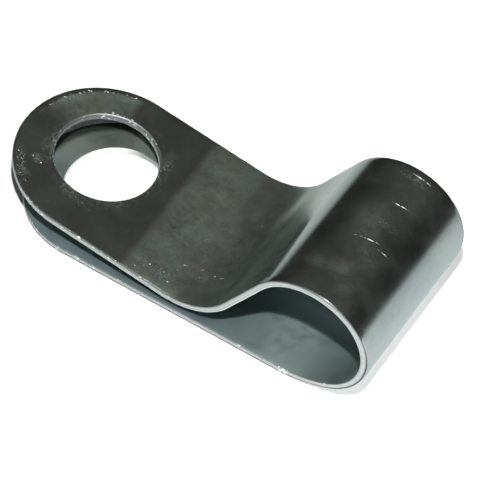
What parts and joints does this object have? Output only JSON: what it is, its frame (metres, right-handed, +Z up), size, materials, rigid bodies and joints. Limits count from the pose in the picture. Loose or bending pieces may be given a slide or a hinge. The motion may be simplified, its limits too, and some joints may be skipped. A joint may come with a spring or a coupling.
{
  "type": "tube clip",
  "caption": "Folded steel strip clip: a round loop grips a tube, and flat round-ended ears, sprung slightly open, are drawn together by a bolt through their punched holes.",
  "frame": {"origin": "centre of the lower ear's bolt hole, on the seating face", "axes": "+X along the strip from the bolt hole to the loop, +Y across the strip along the tube, +Z up from the seating face through the ears"},
  "size_m": [0.0378, 0.016, 0.0118],
  "materials": {
    "plated_steel": "smooth dull-bright zinc plate, handled, with smudges and fine scratches"
  },
  "bodies": {
    "root": {"clip": "plated_steel"}
  },
  "joints": []
}
